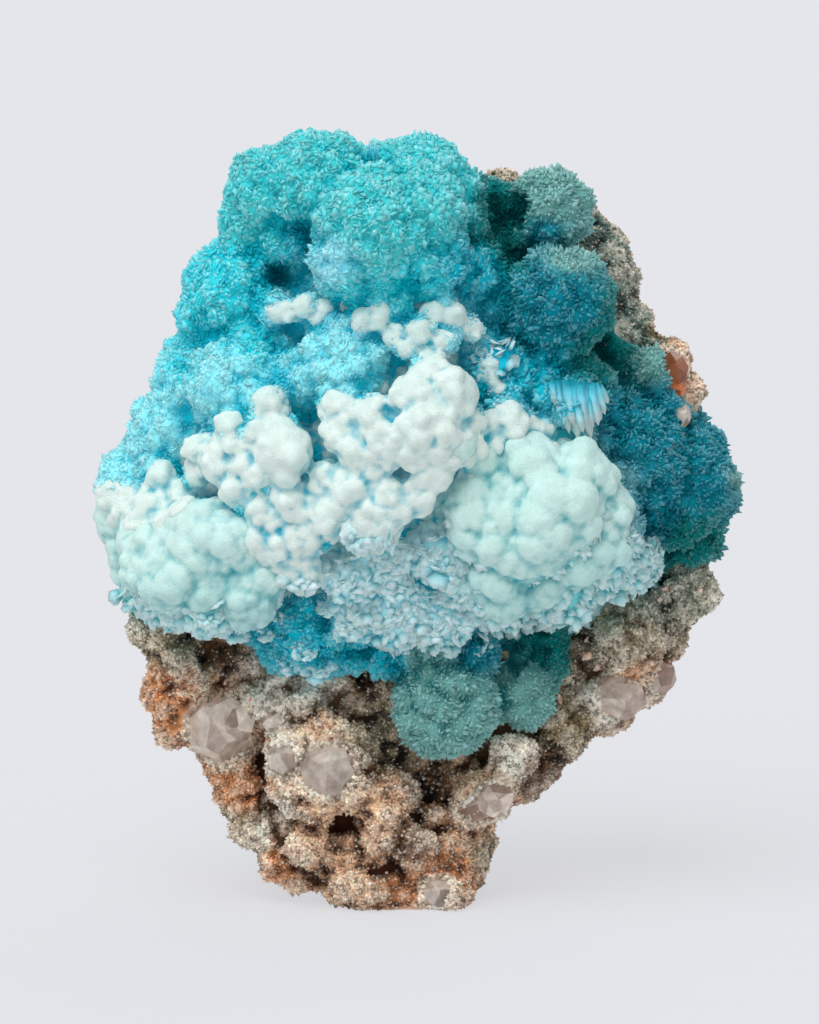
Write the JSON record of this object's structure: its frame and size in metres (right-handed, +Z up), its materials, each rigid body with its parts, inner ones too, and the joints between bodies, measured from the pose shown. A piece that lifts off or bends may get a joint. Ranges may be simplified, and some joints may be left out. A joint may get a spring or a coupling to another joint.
{
  "type": "mineral specimen",
  "caption": "Hemimorphite specimen: blue drusy lobes and white botryoidal mounds on a brown rock matrix with quartz crystals, standing on a flat foot.",
  "frame": {"origin": "middle of the flat foot that the specimen stands on", "axes": "+Z up, the crusted front faces -Y, +X is to the right as the front is seen"},
  "size_m": [0.1291, 0.0793, 0.1572],
  "materials": {
    "crust": "satin",
    "rock": "matte",
    "clear_quartz": "gloss"
  },
  "bodies": {
    "root": {"hemimorphite_crust": "crust", "quartz_matrix": "rock", "quartz_crystal_nest": "clear_quartz", "quartz_crystal_nest_side": "clear_quartz", "quartz_crystal_left": "clear_quartz", "quartz_crystal_left_small": "clear_quartz", "quartz_crystal_right": "clear_quartz", "quartz_crystal_edge": "clear_quartz", "quartz_crystal_foot": "clear_quartz", "quartz_crystal_lower_right": "clear_quartz", "quartz_crystal_rim": "clear_quartz", "quartz_crystal_rim_clear": "clear_quartz"}
  },
  "joints": []
}
